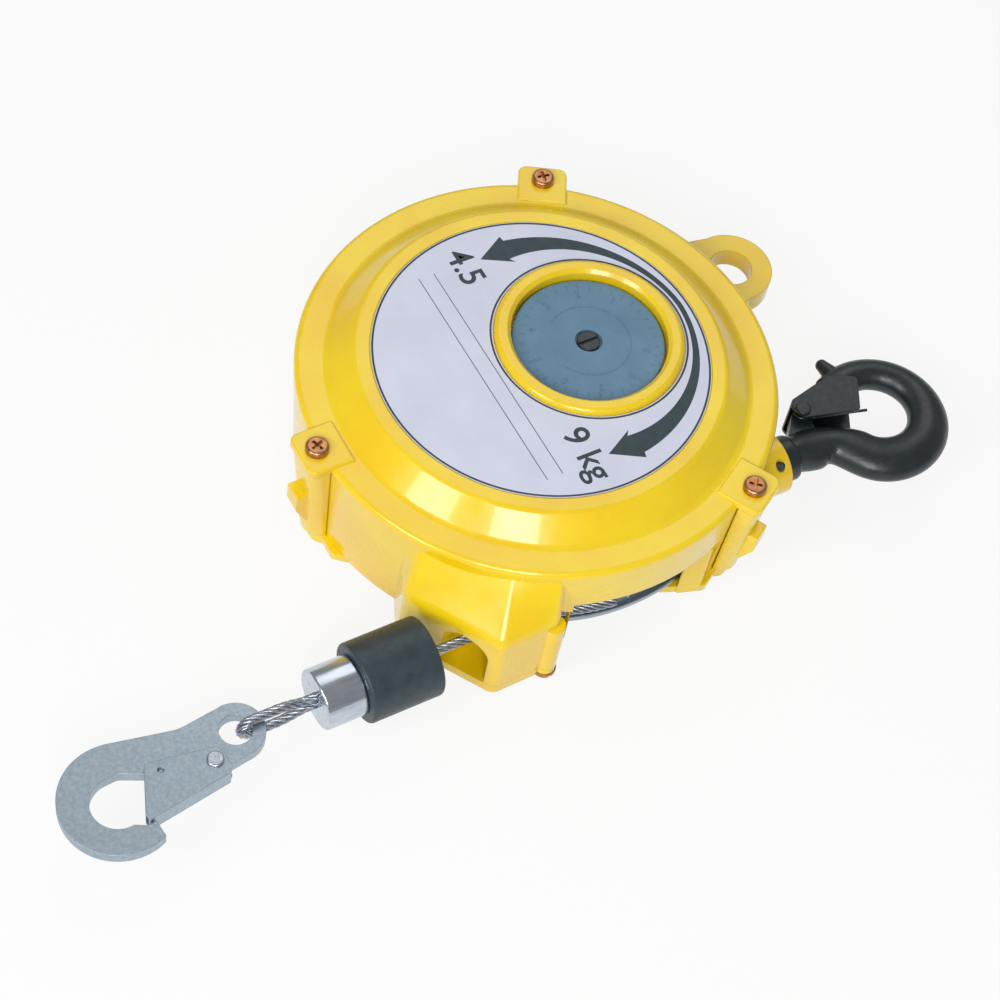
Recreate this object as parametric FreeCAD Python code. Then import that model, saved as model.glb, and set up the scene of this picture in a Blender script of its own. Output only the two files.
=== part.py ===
import FreeCAD, Part
import math
import os

V = FreeCAD.Vector
UP = V(0, 0, 1)

# Spring tool balancer, lying on its back. Millimetres. Z is the axis of the casing and points
# out of its dial face, Y points to the suspension hook and the wire leaves towards -Y.
# z = 0 is the plane of the rear feet.

# Casing
label_z = 64.0                  # face under the label plate, above the rear feet
ring_drop = 9.2                 # from the raised face down to the flat outer ring
ring_r = 95.0                   # outside of the flat ring
face_r = 72.5                   # edge of the raised face
cone_foot_r = 83.0              # where the sloping step meets the ring
wall = 3.2
foot_r = 92.5                   # outside of the wall at its open rear edge
foot_z = 5.0
window_depth = 32.0             # face to the upper edge of the side window
window_start, window_end = -19.0, 23.0      # degrees round the axis
edge_r = 2.2

# Ears that join the two castings
ear_angles = (30.0, 150.0, 270.0)
ear_r = 96.0                    # radius of the screw circle
pad_width, pad_t, pad_in, pad_reach, pad_corner = 20.0, 3.0, 85.0, 103.4, 3.5
pad_rise = 1.0                  # pad above the flat ring
column_width, column_reach, column_corner = 18.6, 102.6, 4.0    # column of the rear cover, at its top
column_foot_width, column_foot_reach, column_foot_corner = 15.0, 99.2, 7.2
column_foot_z = 5.5
joint_gap = 0.3
nub_width, nub_low, nub_high, nub_reach = 8.0, 15.5, 33.0, 104.8
screw_r = 2.5
screw_head_r = 4.6
screw_head_h = 2.9
screw_engage = 13.0             # thread in the column
screw_clearance = 0.25
thread_clearance = 0.03

# Rear cover
cover_r, cover_under_r = 91.8, 89.4         # its edge slopes under the wall
cover_window_r = 80.0                       # cut back across the side window
cover_t = 3.0
rear_hub_r = 19.0
rear_boss_r = 14.5
rib_width = 6.0
foot_pad_r = 8.5
foot_pad_at = 86.0
fan_reach, fan_half = 79.0, 28.0            # where each arm starts to narrow towards its ear
fan_tip, fan_tip_half = 94.0, 16.0
post_angles = (14.6, 19.8, 21.4)            # upright that closes the side window at the ear
post_in, post_out = 88.4, 95.0

# Dial and collar
dial_offset = 21.25             # casing axis to dial axis, the centre distance of the gears
dial_r = 30.1
dial_gap = 0.8
dial_t = 3.5
dial_drop = 2.0                 # dial top below the label plate
dial_lift = 0.3                 # dial above the pocket floor
collar_width = 6.6
collar_rise = 2.5
pocket_floor_t = 3.0
dial_recess_r = 5.4
dial_screw_r = 1.6
dial_screw_head_r = 4.6
slot_w = 1.2

# Label plate
label_r = 66.2
label_t = 0.5
label_gap = 0.4

# Wire rope, groove and drum
wire_r = 2.0
wire_z = 25.6                   # height of the load line
wire_x = 81.4                   # groove radius at the wound-up end, and the load line's X
groove_pitch = 4.4
groove_taper = 1.1              # radius gained each turn as the wire pays out
groove_turns = 3
groove_r = 2.15
coil_spans = 12                 # arcs in one turn of the groove and of the wound wire
groove_lead = 1                 # arcs cut past the tangent point
land_drop = 0.7                 # drum surface below the wire's centre line
drum_seam = 97.0                # degrees, keeps the turned faces' seam off the start of the groove
drum_rear_z = 8.3
drum_flange_t = 2.6
drum_flange_r = 87.0
drum_lip_r = 85.5
drum_lip_t = 1.5
drum_lip_z = 28.1
drum_rim_in = 76.0
drum_web_z, drum_web_t = 17.5, 3.5
drum_ribs = 8
drum_rib_t = 3.0
spring_case_r = 58.0
spring_case_wall = 3.5
drum_top_z, drum_top_t = 38.4, 3.4
drum_hub_r = 17.0
drum_hub_top = 43.0
lid_r = 66.0
lid_t = 2.5
lid_hub_r = 16.0
lid_hub_rise = 2.1
lid_screw_at = 62.0
lid_screws = 6
lid_screw_r = 2.0

# Shaft, bushes and gears
journal_fit = 0.05
shaft_rear_r, shaft_mid_r, shaft_arbor_r = 7.0, 9.0, 12.0
shaft_gear_r, shaft_front_r = 8.0, 6.0
bush_wall = 2.5
spring_gap = 0.8                # lid to spring, and spring to drum web
clip_t = 1.0
clip_r = 12.0
gear_module = 1.25
gear_teeth, pinion_teeth = 22, 12
gear_t = 5.4
gear_z = 45.2
addendum, dedendum = 0.9, 1.2   # in modules
backlash = 0.12
key_w = 3.0
spindle_r = 4.0
sleeve_in, sleeve_out = 5.8, 7.5
brake_wire_r = 0.7
brake_turns = 5
spindle_top_r = 3.0

# Main spring
strip_t = 1.2
strip_turns = 8

# Wire end
bumper_r, bumper_y, bumper_len = 15.8, -89.1, 29.7
sleeve_r, sleeve_len = 11.9, 16.2
eye_y = -166.9                  # centre of the load hook's eye
loop_r = 4.8                    # bend of the wire round the eye
leg_gap = 2.3                   # each leg off the load line at the sleeve
swage = 5.0                     # depth of the wire in the sleeve

# Load hook, a flat plate hook
hook_tilt = 8.7                 # degrees off the load line at rest
plate_t = 5.0
eye_r, eye_hole_r = 11.0, 6.2
bowl_r, bowl_hole_r = 22.0, 10.2
latch_t = 1.2
latch_web_room = 4.2        # from the load latch's pivot down to the neck, clear of the open latch's web
latch_gap = 0.3
rivet_r, rivet_head_r, rivet_head_t = 1.8, 3.2, 1.0

# Suspension hook, a forged swivel hook
top_x = 61.0
top_y = 129.5                   # centre of the hook's bowl
shank_r = 7.0
shank_end_y = 68.0
boss_end_y = 79.0
boss_r = 12.5
groove_y = 74.5                 # retaining groove in the shank
pin_r = 2.0
pin_off = 7.2
top_hole_r = 13.0
top_outer_r = 29.3
top_latch_t = 1.5
top_pivot = (-13.0, -31.0)
top_pivot_r = 2.0
top_cheek = 7.5                 # inside of each latch cheek off the hook's mid plane
top_boss = 4.4                  # half thickness of the hook's pivot boss
top_spring_r = 0.6

# Safety eye cast on the front casing
lug_x, lug_y = -29.0, 112.5
lug_r, lug_hole_r, lug_t = 17.5, 9.0, 9.0

# Wire outlet, at its corners in plan
outlet_left, outlet_right = (59.5, -88.3), (95.0, -65.3)
outlet_back = (94.5, -41.0)
outlet_shoulder_z = 34.5        # the front face is upright below this height
outlet_top_z = 50.0
outlet_round = 6.0
mouth_left, mouth_right, mouth_top = 74.5, 91.2, 29.0
mouth_left_round, mouth_right_round = 7.0, 9.0
outlet_boss = (93.0, -41.5)
outlet_boss_r = 4.2
outlet_boss_top = 32.3

# Worked out from the sizes above
ring_z = label_z - ring_drop
pad_z = ring_z + pad_rise
window_z = label_z - window_depth
dial_top = label_z - dial_drop
dial_floor = dial_top - dial_t - dial_lift
pocket_r = dial_r + dial_gap
boss_floor = dial_floor - pocket_floor_t
gear_top = gear_z + gear_t
boss_z = gear_top + 0.6
lid_z = drum_rear_z + 1.6
lid_top = lid_z + lid_t
case_top = drum_top_z - drum_top_t
rear_boss_top = drum_rear_z - 0.2
outlet_floor = foot_z
sleeve_y = bumper_y - bumper_len
leg_out = loop_r


def corner_arc(before, corner, after, radius):
    """Tangent arc that rounds one corner of an outline: its start, middle and end."""
    ax, ay = before[0] - corner[0], before[1] - corner[1]
    bx, by = after[0] - corner[0], after[1] - corner[1]
    la, lb = math.hypot(ax, ay), math.hypot(bx, by)
    ax, ay, bx, by = ax / la, ay / la, bx / lb, by / lb
    half = math.acos(max(-1.0, min(1.0, ax * bx + ay * by))) / 2
    reach = radius / math.tan(half)
    mx, my = ax + bx, ay + by
    lm = math.hypot(mx, my)
    depth = radius / math.sin(half)
    cx, cy = corner[0] + mx / lm * depth, corner[1] + my / lm * depth
    start = (corner[0] + ax * reach, corner[1] + ay * reach)
    end = (corner[0] + bx * reach, corner[1] + by * reach)
    middle = (cx - mx / lm * radius, cy - my / lm * radius)
    return start, middle, end


def closed_wire(corners, place):
    """Outline through corners (a, b) or (a, b, radius), mapped into space by place(a, b)."""
    edges = []
    stops = []
    for i, corner in enumerate(corners):
        if len(corner) == 3 and corner[2] > 0:
            arc = corner_arc(corners[i - 1], corner, corners[(i + 1) % len(corners)], corner[2])
            stops.append(arc)
        else:
            stops.append((corner, None, corner))
    for i, (start, middle, end) in enumerate(stops):
        if middle:
            edges.append(Part.Arc(place(*start), place(*middle), place(*end)).toShape())
        following = stops[(i + 1) % len(stops)][0]
        a, b = place(end[0], end[1]), place(following[0], following[1])
        if a.distanceToPoint(b) > 1e-6:
            edges.append(Part.LineSegment(a, b).toShape())
    return Part.Wire(edges)


def turned(corners, at=(0.0, 0.0)):
    """Solid of revolution about an upright axis, from an outline of (radius, height)."""
    wire = closed_wire(corners, lambda r, z: V(at[0] + r, at[1], z))
    return Part.Face(wire).revolve(V(at[0], at[1], 0), UP, 360)


def slab(corners, low, high):
    """Upright prism from an outline of (x, y)."""
    wire = closed_wire(corners, lambda x, y: V(x, y, low))
    return Part.Face(wire).extrude(V(0, 0, high - low))


def rod(r, low, high, at=(0.0, 0.0)):
    return Part.makeCylinder(r, high - low, V(at[0], at[1], low), UP)


def ring(inner, outer, low, high, at=(0.0, 0.0)):
    return rod(outer, low, high, at).cut(rod(inner, low - 1, high + 1, at))


def along_y(shape, x, z):
    """Lay a shape turned about Z so that its axis runs along Y, with its z = 0 at y = 0."""
    laid = shape.copy()
    laid.rotate(V(0, 0, 0), V(1, 0, 0), -90)
    laid.translate(V(x, 0, z))
    return laid


def about_axis(shape, degrees):
    turned_copy = shape.copy()
    turned_copy.rotate(V(0, 0, 0), UP, degrees)
    return turned_copy


def polar(radius, degrees):
    return radius * math.cos(math.radians(degrees)), radius * math.sin(math.radians(degrees))


def rope_radius(z):
    """Radius of the wire's centre line on the drum at a height."""
    return wire_x + (wire_z - z) / groove_pitch * groove_taper


def pan_head(r, height, z):
    """Domed screw head with a cross recess, sitting on z."""
    head = turned([(0, z), (r, z), (r, z + height, height * 0.45), (0, z + height)])
    cross = Part.makeBox(r * 1.1, slot_w, height, V(-r * 0.55, -slot_w / 2, z + height * 0.5))
    cross = cross.fuse(about_axis(cross, 90))
    return head.cut(cross)


# ---- Casing ------------------------------------------------------------------------------

def cavity():
    """Hollow of the front casing, cut from everything that grows inwards."""
    inset = wall * 0.4
    return turned([(0, foot_z - 1), (foot_r - wall, foot_z - 1),
                   (ring_r - wall, ring_z - wall, 3.0), (cone_foot_r - inset, ring_z - wall, 2.0),
                   (face_r - inset, label_z - wall, 2.0), (0, label_z - wall)])


def shell():
    return turned([(0, foot_z), (foot_r, foot_z), (ring_r, ring_z, edge_r),
                   (cone_foot_r, ring_z, 4.0), (face_r, label_z, 3.0), (0, label_z)])


def ear_pad(inner, reach, width, corner, low, high):
    """Square pad of an ear that points along X."""
    half = width / 2
    return slab([(inner, -half), (reach, -half, corner), (reach, half, corner), (inner, half)], low, high)


def casing_form(gap):
    """Outside of the drafted wall, larger by a gap."""
    return turned([(0, foot_z - 1), (foot_r + gap, foot_z - 1), (ring_r + gap, pad_z), (0, pad_z)])


def ear_column():
    """Column of the rear cover that points along X, with the nub on its outer face."""
    wires = []
    for z, width, reach, corner in (
            (column_foot_z, column_foot_width, column_foot_reach, column_foot_corner),
            (pad_z - pad_t, column_width, column_reach, column_corner)):
        inner, half = foot_r - wall, width / 2
        corners = [(inner, -half), (reach, -half, corner), (reach, half, corner), (inner, half)]
        wires.append(closed_wire(corners, lambda x, y, z=z: V(x, y, z)))
    column = Part.makeLoft(wires, True, True)
    profile = closed_wire([(ear_r, nub_low), (column_foot_reach + 1.0, nub_low),
                           (nub_reach, nub_low + 9, 1.5), (nub_reach, nub_high, 0.8), (ear_r, nub_high)],
                          lambda x, z: V(x, -nub_width / 2, z))
    nub = Part.Face(profile).extrude(V(0, nub_width, 0))
    return column.fuse(nub)


def outlet_plan(shrink):
    """Plan of the wire outlet; shrink 1 draws it back to the casing wall."""
    def drawn(point, reach):
        size = math.hypot(*point)
        new = size + (reach - size) * shrink
        return point[0] * new / size, point[1] * new / size
    left = drawn(outlet_left, ring_r - 0.6)
    right = drawn(outlet_right, ring_r - 0.6)
    back = drawn(outlet_back, ring_r - 0.6)
    return [(40.0, -79.0), left + (6.0 - 3 * shrink,), right + (5.0 - 2 * shrink,),
            back + (3.0 - shrink,), (83.0, -31.0), (60.0, -40.0)]


def outlet_block():
    """Hooded corner that the wire leaves by, before its mouth is cut."""
    full = closed_wire(outlet_plan(0), lambda x, y: V(x, y, outlet_shoulder_z))
    drawn = closed_wire(outlet_plan(1), lambda x, y: V(x, y, outlet_top_z))
    hood = Part.makeLoft([full, drawn], True, True)
    block = hood.fuse(slab(outlet_plan(0), outlet_floor, outlet_shoulder_z)).removeSplitter()
    shoulder = [edge for edge in block.Edges
                if edge.BoundBox.ZLength < 0.01 and abs(edge.BoundBox.ZMin - outlet_shoulder_z) < 0.01
                and (edge.BoundBox.XMax > outlet_back[0] - 2 or edge.CenterOfMass.y < outlet_right[1])]
    return block.makeFillet(outlet_round, shoulder)


def mouth():
    """Arched slot along the load line, through the outlet."""
    corners = [(mouth_left, outlet_floor - 1), (mouth_right, outlet_floor - 1),
               (mouth_right, mouth_top, mouth_right_round), (mouth_left, mouth_top, mouth_left_round)]
    wire = closed_wire(corners, lambda x, z: V(x, -30, z))
    return Part.Face(wire).extrude(V(0, -80, 0))


def safety_lug():
    low = wire_z - lug_t / 2
    high = wire_z + lug_t / 2
    web = slab([(lug_x - lug_r + 0.3, lug_y), (lug_x + lug_r - 0.3, lug_y),
                (lug_x + lug_r + 8, lug_y - 25), (lug_x - lug_r - 6, lug_y - 35)], low, high)
    return web.fuse(rod(lug_r, low, high, (lug_x, lug_y)))


def front_casing():
    body = shell().fuse(outlet_block())
    pad = ear_pad(pad_in, pad_reach, pad_width, pad_corner, pad_z - pad_t, pad_z)
    pad = pad.makeFillet(0.8, [e for e in pad.Edges if e.CenterOfMass.z > pad_z - 0.01])
    for angle in ear_angles:
        body = body.fuse(about_axis(pad, angle))
    boss = along_y(rod(boss_r, 50, boss_end_y), top_x, wire_z)
    body = body.fuse([boss, safety_lug(), rod(outlet_boss_r, outlet_floor, outlet_boss_top, outlet_boss)])
    body = body.cut(cavity())
    body = body.cut(mouth())
    a, b = polar(60, window_start), polar(130, window_start)
    c, d = polar(130, window_end), polar(60, window_end)
    body = body.cut(slab([a, b, c, d], foot_z - 1, window_z).cut(
        outlet_block().fuse(rod(outlet_boss_r, 0, outlet_boss_top, outlet_boss))))
    body = body.cut(rod(lug_hole_r, 0, label_z, (lug_x, lug_y)))
    at = (0, dial_offset)
    cup = rod(pocket_r + wall, boss_floor, label_z, at)
    collar = turned([(0, label_z - wall), (pocket_r + collar_width, label_z - wall),
                     (pocket_r + collar_width, label_z + collar_rise, 2.3),
                     (0, label_z + collar_rise)], at)
    bosses = rod(13.0, boss_z, dial_floor).fuse(rod(10.5, boss_z, dial_floor, at))
    recess = ring(0.01, label_r + label_gap, label_z - label_t, label_z + 1)
    recess = recess.cut(rod(pocket_r + collar_width, 0, label_z + 9, at))
    body = body.cut(recess).fuse([cup, collar, bosses])
    rim_cut = turned([(0, dial_floor), (pocket_r, dial_floor), (pocket_r, label_z + collar_rise - 1.5),
                      (pocket_r + 2.0, label_z + collar_rise + 0.5), (0, label_z + collar_rise + 0.5)], at)
    body = body.cut(rim_cut)
    body = body.cut(rod(shaft_front_r + bush_wall, 0, dial_floor - 0.8))
    body = body.cut(rod(sleeve_out, 0, label_z, at))
    for angle in ear_angles:
        body = body.cut(rod(screw_r + screw_clearance, 0, label_z, polar(ear_r, angle)))
    body = body.cut(along_y(rod(shank_r + 0.1, 40, 99), top_x, wire_z))
    for side in (-1, 1):
        body = body.cut(rod(pin_r + thread_clearance, 0, 40, (top_x + side * pin_off, groove_y)))
    return body.cut(rod(screw_r + thread_clearance, 0, 26, outlet_boss))


def rear_cover():
    low = foot_z - cover_t
    body = turned([(0, low), (cover_under_r, low), (cover_r, foot_z), (0, foot_z)])
    a, b = polar(130, window_start), polar(130, window_end)
    sector = slab([(0, 0), a, (180, 0), b], 0, foot_z + 1)
    body = body.cut(sector.cut(rod(cover_window_r, 0, foot_z + 1)))
    column = ear_column().cut(casing_form(joint_gap))
    column = column.cut(rod(screw_r + thread_clearance, pad_z - pad_t - screw_engage - 2, label_z, (ear_r, 0)))
    root = ear_pad(cover_window_r, column_foot_reach - 2.6, column_foot_width, 5.0, 0, column_foot_z)
    root = root.cut(casing_form(joint_gap))
    fan = slab([(40, -fan_half), (fan_reach, -fan_half, 8.0), (fan_tip, -fan_tip_half, 3.0),
                (fan_tip, fan_tip_half, 3.0), (fan_reach, fan_half, 8.0), (40, fan_half)], low - 0.8, foot_z)
    rib = Part.makeBox(foot_pad_at, rib_width, low, V(0, -rib_width / 2, 0))
    pad = rod(foot_pad_r, 0, low, (foot_pad_at, 0))
    for angle in ear_angles:
        body = body.fuse([about_axis(piece, angle) for piece in (fan, root, column, rib, pad)])
    near, far, end = post_angles
    post = slab([polar(post_in, near), polar(post_in + 0.9, near), polar(post_out, far) + (1.5,),
                 polar(post_in, end)], low, window_z - joint_gap)
    body = body.fuse([post, slab(outlet_plan(0), 0.6, foot_z), rod(rear_hub_r, 0, low),
                      rod(rear_boss_r, low, rear_boss_top)])
    body = body.fuse(rod(outlet_boss_r, 0, foot_z, outlet_boss))
    body = body.cut(rod(shaft_rear_r + bush_wall, 1.0, label_z))
    body = body.cut(rod(screw_r + screw_clearance, -1, foot_z + 1, outlet_boss))
    return body.cut(rod(screw_head_r + 0.2, -1, 2.0, outlet_boss)).removeSplitter()


def casing_screws():
    screws = []
    for angle in ear_angles:
        at = polar(ear_r, angle)
        head = pan_head(screw_head_r, screw_head_h, pad_z)
        screw = head.fuse(rod(screw_r, pad_z - pad_t - screw_engage, pad_z))
        screw.rotate(V(0, 0, 0), UP, angle + 20)
        screw.translate(V(at[0], at[1], 0))
        screws.append(screw)
    return Part.makeCompound(screws)


def outlet_screw():
    head = rod(screw_head_r, 0, 1.9)
    slot = Part.makeBox(2 * screw_head_r + 1, slot_w, 1.0, V(-screw_head_r - 0.5, -slot_w / 2, -0.1))
    screw = head.cut(slot).fuse(rod(screw_r, 1.9, 22.0))
    screw.translate(V(outlet_boss[0], outlet_boss[1], 0.1))
    return screw


def label_plate():
    plate = rod(label_r, label_z - label_t, label_z)
    return plate.cut(rod(pocket_r + collar_width + label_gap, 0, label_z + 1, (0, dial_offset)))


# ---- Spring shaft and adjuster -----------------------------------------------------------

def main_shaft():
    end = dial_floor - 1.5
    shaft = turned([(0, 1.4), (shaft_rear_r, 1.4), (shaft_rear_r, rear_boss_top + 0.2),
                    (shaft_mid_r, rear_boss_top + 0.2), (shaft_mid_r, lid_top + lid_hub_rise),
                    (shaft_arbor_r, lid_top + lid_hub_rise), (shaft_arbor_r, case_top - 0.4),
                    (shaft_mid_r, case_top - 0.4), (shaft_mid_r, gear_z - 0.2),
                    (shaft_gear_r, gear_z - 0.2), (shaft_gear_r, gear_top + 0.3),
                    (shaft_front_r, gear_top + 0.3), (shaft_front_r, end, 0.8), (0, end)])
    groove = ring(shaft_mid_r - 0.6, shaft_mid_r + 1, drum_hub_top + 0.4, drum_hub_top + 0.4 + clip_t)
    keyway = Part.makeBox(key_w, key_w, gear_t + 1, V(shaft_gear_r - key_w / 2, -key_w / 2, gear_z - 0.2))
    slot = Part.makeBox(strip_t + 0.1, shaft_arbor_r, case_top - lid_top,
                        V(shaft_arbor_r - strip_t - 0.6, -shaft_arbor_r - 2, lid_top + lid_hub_rise))
    return shaft.cut([groove, keyway, slot])


def involute(base_r, t):
    return base_r * (math.cos(t) + t * math.sin(t)), base_r * (math.sin(t) - t * math.cos(t))


def gear_blank(teeth, z, height, at, turn):
    """Spur gear with involute flanks; turn is the angle of the middle of one tooth."""
    pitch_r = gear_module * teeth / 2
    base_r = pitch_r * math.cos(math.radians(20))
    tip_r = pitch_r + addendum * gear_module
    root_r = pitch_r - dedendum * gear_module
    tip_t = math.sqrt((tip_r / base_r) ** 2 - 1)
    pitch_t = math.tan(math.radians(20))
    half = (math.pi / 2 - backlash / gear_module) / teeth + pitch_t - math.radians(20)
    steps = 5
    flank = [involute(base_r, tip_t * i / (steps - 1)) for i in range(steps)]
    low = [(math.hypot(x, y), math.atan2(y, x) - half) for x, y in flank]
    high = [(r, -a) for r, a in reversed(low)]
    edges = []
    first_root = None
    last = None
    for k in range(teeth):
        mid = math.radians(turn) + 2 * math.pi * k / teeth

        def point(r, a):
            return V(at[0] + r * math.cos(mid + a), at[1] + r * math.sin(mid + a), z)
        root_a, root_b = point(root_r, low[0][1]), point(root_r, high[-1][1])
        if last:
            edges.append(Part.LineSegment(last, root_a).toShape())
        else:
            first_root = root_a
        rise = Part.BSplineCurve()
        rise.interpolate([point(r, a) for r, a in low])
        fall = Part.BSplineCurve()
        fall.interpolate([point(r, a) for r, a in high])
        tip = Part.Arc(point(*low[-1]), point(tip_r, 0), point(*high[0]))
        edges += [Part.LineSegment(root_a, point(*low[0])).toShape(), rise.toShape(), tip.toShape(),
                  fall.toShape(), Part.LineSegment(point(*high[-1]), root_b).toShape()]
        last = root_b
    edges.append(Part.LineSegment(last, first_root).toShape())
    return Part.Face(Part.Wire(edges)).extrude(V(0, 0, height))


def shaft_gear():
    gear = gear_blank(gear_teeth, gear_z, gear_t, (0, 0), 90.0)
    keyway = Part.makeBox(key_w + 0.1, key_w, gear_t + 2,
                          V(shaft_gear_r - key_w / 2, -key_w / 2, gear_z - 1))
    return gear.cut([rod(shaft_gear_r + 0.01, 0, label_z), keyway])


def gear_key():
    return Part.makeBox(key_w, key_w - 0.04, gear_t - 0.4,
                        V(shaft_gear_r - key_w / 2 + 0.05, -key_w / 2 + 0.02, gear_z))


def shaft_clip():
    clip = ring(shaft_mid_r - 0.5, clip_r, drum_hub_top + 0.45, drum_hub_top + 0.35 + clip_t)
    return clip.cut(Part.makeBox(20, 6, label_z, V(0, -3, 0)))


def spiral_edges(start_r, turns, pitch, z):
    """Spiral of half circles, whose radius grows by half the pitch at each."""
    edges = []
    a = V(start_r, 0, z)
    for k in range(int(turns * 2)):
        r = start_r + pitch / 2 * (k + 0.5)
        side = 1 if k % 2 == 0 else -1
        b = V(a.x - side * 2 * r, 0, z)
        middle = V((a.x + b.x) / 2, side * r, z)
        edges.append(Part.Arc(a, middle, b).toShape())
        a = b
    return edges, a


def main_spring():
    low = lid_top + lid_hub_rise + spring_gap
    high = case_top - spring_gap
    inner_r = shaft_arbor_r + 0.4
    pitch = (spring_case_r - strip_t - 1.2 - inner_r) / strip_turns
    inner, inner_end = spiral_edges(inner_r, strip_turns, pitch, low)
    outer, outer_end = spiral_edges(inner_r + strip_t, strip_turns, pitch, low)
    start = Part.LineSegment(V(inner_r, 0, low), V(inner_r + strip_t, 0, low)).toShape()
    end = Part.LineSegment(inner_end, outer_end).toShape()
    wire = Part.Wire(Part.sortEdges(inner + [end] + outer + [start])[0])
    return Part.Face(wire).extrude(V(0, 0, high - low))


def adjuster_spindle():
    at = (0, dial_offset)
    pinion = gear_blank(pinion_teeth, gear_z - 0.2, gear_t + 0.4, at, -90.0 + 180.0 / pinion_teeth)
    top = dial_top - 1.6
    body = turned([(0, gear_z - 0.8), (spindle_r, gear_z - 0.8), (spindle_r, dial_floor + 0.2),
                   (spindle_top_r, dial_floor + 0.2), (spindle_top_r, top), (0, top)], at)
    return body.fuse(pinion).cut(rod(dial_screw_r + thread_clearance, dial_floor - 5, label_z, at))


def tension_dial():
    at = (0, dial_offset)
    low = dial_top - dial_t
    body = turned([(0, low), (dial_r, low), (dial_r, dial_top, 0.6), (0, dial_top)], at)
    body = body.cut(rod(spindle_top_r + 0.02, 0, label_z, at))
    return body.cut(rod(dial_recess_r, dial_top - 1.5, label_z, at))


def dial_screw():
    at = (0, dial_offset)
    low = dial_top - 1.5
    head = turned([(0, low), (dial_screw_head_r, low), (dial_screw_head_r, dial_top - 0.1, 0.4),
                   (0, dial_top - 0.1)], at)
    slot = Part.makeBox(slot_w, 2 * dial_screw_head_r + 1, 2,
                        V(-slot_w / 2, dial_offset - dial_screw_head_r - 0.5, low + 0.6))
    return head.cut(slot).fuse(rod(dial_screw_r, dial_floor - 4, low, at))


def brake_spring():
    pitch = (dial_floor - boss_z - 1.6) / brake_turns
    path = Part.makeHelix(pitch, pitch * brake_turns, spindle_r + brake_wire_r + 0.1)
    section = Part.Wire([Part.Circle(V(spindle_r + brake_wire_r + 0.1, 0, 0), V(0, 1, 0),
                                     brake_wire_r).toShape()])
    coil = Part.Wire(path.Edges).makePipeShell([section], True, True)
    coil.translate(V(0, dial_offset, boss_z + 0.8))
    return coil


# ---- Drum --------------------------------------------------------------------------------

def coil_point(spans):
    """Centre line of the wire on the drum, counted from the tangent point in spans."""
    turns = spans / coil_spans
    x, y = polar(wire_x + groove_taper * turns, 360.0 * turns)
    return V(x, y, wire_z - groove_pitch * turns)


def rope_coil(r, lead=0):
    """Tube along the drum's tapering helix, one short arc after another down to the anchored end."""
    arcs = []
    for k in range(-lead, groove_turns * coil_spans):
        arcs.append(Part.Arc(coil_point(k), coil_point(k + 0.5), coil_point(k + 1)).toShape())
    heading = V(*polar(1, 90 - 360.0 * lead / coil_spans))
    section = Part.Wire([Part.Circle(coil_point(-lead), heading, r).toShape()])
    return Part.Wire(arcs).makePipeShell([section], True, True)


def wire_drum():
    hub_bore = shaft_mid_r + bush_wall
    case_out = spring_case_r + spring_case_wall
    web_top = drum_web_z + drum_web_t
    flange_z = drum_rear_z + drum_flange_t
    body = turned([(hub_bore, case_top), (spring_case_r, case_top, 2.0), (spring_case_r, lid_top),
                   (lid_r, lid_top), (lid_r, drum_web_z), (drum_rim_in, drum_web_z, 2.0),
                   (drum_rim_in, drum_rear_z), (drum_flange_r, drum_rear_z, 0.6),
                   (drum_flange_r, flange_z, 0.6), (rope_radius(flange_z) - land_drop, flange_z),
                   (rope_radius(drum_lip_z) - land_drop, drum_lip_z), (drum_lip_r, drum_lip_z, 0.4),
                   (drum_lip_r, drum_lip_z + drum_lip_t, 0.4), (drum_rim_in, drum_lip_z + drum_lip_t),
                   (drum_rim_in, web_top, 2.0), (case_out, web_top, 2.0),
                   (case_out, drum_top_z, 3.0), (drum_hub_r, drum_top_z, 2.0),
                   (drum_hub_r, drum_hub_top, 0.8), (hub_bore, drum_hub_top)])
    body = about_axis(body, drum_seam)
    for k in range(drum_ribs):
        rib = Part.makeBox(drum_rim_in - case_out + 1, drum_rib_t, 5.0,
                           V(case_out - 0.5, -drum_rib_t / 2, web_top - 0.5))
        body = body.fuse(about_axis(rib, 360.0 * k / drum_ribs))
    return body.cut(rope_coil(groove_r, groove_lead))


def drum_cover():
    bore = shaft_mid_r + bush_wall
    body = turned([(bore, drum_rear_z + 0.3), (lid_hub_r, drum_rear_z + 0.3), (lid_hub_r, lid_z, 1.0),
                   (lid_r, lid_z, 0.6), (lid_r, lid_top), (lid_hub_r, lid_top, 0.6),
                   (lid_hub_r - 1, lid_top + lid_hub_rise - 0.3), (bore, lid_top + lid_hub_rise - 0.3)])
    for k in range(lid_screws):
        body = body.cut(rod(lid_screw_r + 0.1, 0, 20, polar(lid_screw_at, 360.0 * k / lid_screws)))
    return body


def drum_with_screw_holes():
    body = wire_drum()
    for k in range(lid_screws):
        at = polar(lid_screw_at, 360.0 * k / lid_screws)
        body = body.cut(rod(lid_screw_r + thread_clearance, 0, lid_top + 4.6, at))
    return body


def drum_cover_screws():
    screws = []
    for k in range(lid_screws):
        screw = turned([(0, lid_z - 1.3), (3.4, lid_z - 1.3, 0.5), (3.4, lid_z), (lid_screw_r, lid_z),
                        (lid_screw_r, lid_top + 4.2), (0, lid_top + 4.2)])
        slot = Part.makeBox(8, 0.9, 0.7, V(-4, -0.45, lid_z - 1.4))
        screw = screw.cut(slot)
        at = polar(lid_screw_at, 360.0 * k / lid_screws)
        screw.translate(V(at[0], at[1], 0))
        screws.append(screw)
    return Part.makeCompound(screws)


def wire_on_drum():
    return rope_coil(wire_r)


def straight_wire():
    run = along_y(rod(wire_r, sleeve_y - swage + 0.4, 0), wire_x, wire_z)
    return run


# ---- Wire end ----------------------------------------------------------------------------

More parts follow.
